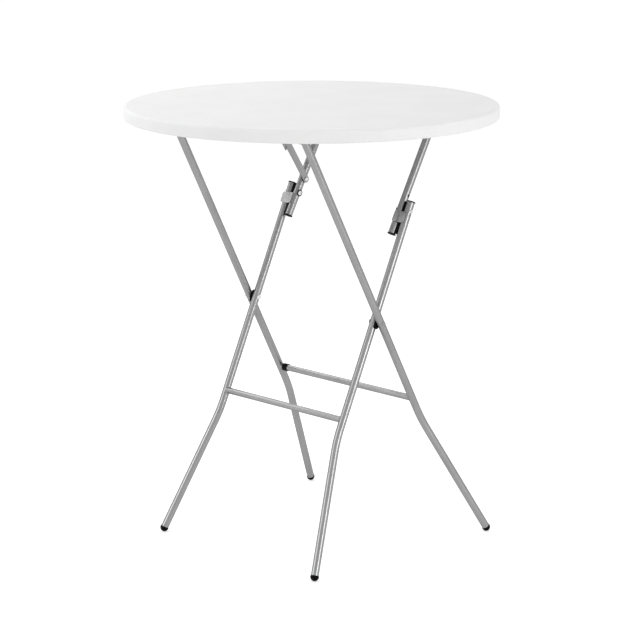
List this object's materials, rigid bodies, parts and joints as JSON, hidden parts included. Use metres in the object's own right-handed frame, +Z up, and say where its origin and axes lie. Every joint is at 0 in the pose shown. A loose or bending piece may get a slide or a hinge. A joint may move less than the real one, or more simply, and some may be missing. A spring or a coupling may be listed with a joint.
{
  "type": "folding cocktail table",
  "caption": "Tall round folding cocktail table: moulded top, crossed tube legs hinged at the scissors and knees, stretchers, and a slotted lock stay under the top.",
  "frame": {"origin": "on the floor under the centre of the tabletop", "axes": "+Z up; +X across the scissors, from the inner frame's feet to the outer frame's feet; +Y along the stretchers, from the right pair of legs to the left pair"},
  "size_m": [0.914, 0.914, 1.092],
  "materials": {
    "white_plastic": "white blow-moulded polyethylene, lightly textured, satin",
    "grey_steel": "mid grey powder coat on steel tube and sheet, satin",
    "zinc_steel": "pale zinc plated steel, satin",
    "spring_steel": "blackened spring wire, satin",
    "black_plastic": "black polyethylene, matt",
    "black_rubber": "black rubber, matt"
  },
  "bodies": {
    "outer_frame": {"outer_leg_left": "grey_steel", "outer_leg_right": "grey_steel", "outer_head_tube": "grey_steel", "outer_stretcher": "grey_steel", "stretcher_bumper": "black_rubber", "outer_foot_left": "black_plastic", "outer_foot_right": "black_plastic", "scissor_pin_outer_left": "grey_steel", "scissor_pin_outer_right": "grey_steel"},
    "tabletop": {"tabletop": "white_plastic", "keeper_rail": "grey_steel", "keeper_screw_1": "zinc_steel", "keeper_screw_2": "zinc_steel", "keeper_screw_3": "zinc_steel", "outer_bracket_left": "grey_steel", "outer_bracket_left_screw_1": "zinc_steel", "outer_bracket_left_screw_2": "zinc_steel", "outer_bracket_right": "grey_steel", "outer_bracket_right_screw_1": "zinc_steel", "outer_bracket_right_screw_2": "zinc_steel", "upper_bracket_left": "grey_steel", "upper_bracket_left_screw_1": "zinc_steel", "upper_bracket_left_screw_2": "zinc_steel", "upper_bracket_right": "grey_steel", "upper_bracket_right_screw_1": "zinc_steel", "upper_bracket_right_screw_2": "zinc_steel"},
    "upper_links": {"upper_arm_left": "grey_steel", "upper_arm_right": "grey_steel", "upper_head_tube": "grey_steel", "upper_cap_left": "black_plastic", "upper_cap_right": "black_plastic", "knee_rivet_left": "zinc_steel", "knee_rivet_right": "zinc_steel", "knee_bushing": "black_plastic", "knee_clip_upper_left": "zinc_steel", "knee_clip_upper_right": "grey_steel", "stay_rivet": "zinc_steel", "stay_washer": "black_plastic"},
    "inner_frame": {"inner_leg_left": "grey_steel", "inner_leg_right": "grey_steel", "inner_stretcher": "grey_steel", "inner_foot_left": "black_plastic", "inner_foot_right": "black_plastic", "inner_cap_left": "black_plastic", "inner_cap_right": "black_plastic", "scissor_pin_inner_left": "zinc_steel", "scissor_pin_inner_right": "zinc_steel", "scissor_spacer_left": "black_plastic", "scissor_spacer_right": "black_plastic", "knee_spacer_left": "black_plastic", "knee_spacer_right": "black_plastic", "knee_clip_lower_left": "zinc_steel", "knee_clip_lower_right": "grey_steel"},
    "lock_stay": {"stay_bar": "grey_steel", "stay_spring": "spring_steel"},
    "lock_pin": {"lock_pin": "zinc_steel"}
  },
  "joints": [
    {"name": "top_fold", "type": "hinge", "parent": "outer_frame", "child": "tabletop", "pos_m": [-0.24615, 0, 1.046], "axis": [0, 1, 0], "range_deg": [0, 56.28]},
    {"name": "arm_fold", "type": "hinge", "parent": "tabletop", "child": "upper_links", "pos_m": [0.24615, 0, 1.046], "axis": [0, 1, 0], "range_deg": [0, 60.44]},
    {"name": "knee_fold", "type": "hinge", "parent": "upper_links", "child": "inner_frame", "pos_m": [0.12625, 0, 0.83458], "axis": [0, -1, 0], "range_deg": [0, 165.44]},
    {"name": "stay_fold", "type": "hinge", "parent": "upper_links", "child": "lock_stay", "pos_m": [0.14534, 0, 0.86824], "axis": [0, -1, 0], "range_deg": [0, 117.44]},
    {"name": "lock_slide", "type": "slide", "parent": "lock_stay", "child": "lock_pin", "axis": [-0.5446, 0, 0.8387], "range_m": [0, 0.005]}
  ],
  "couplings": [
    {"joint": "arm_fold", "follows": "top_fold", "ratio": 1.074},
    {"joint": "knee_fold", "follows": "top_fold", "ratio": 2.9397},
    {"joint": "stay_fold", "follows": "top_fold", "ratio": 2.0869}
  ]
}
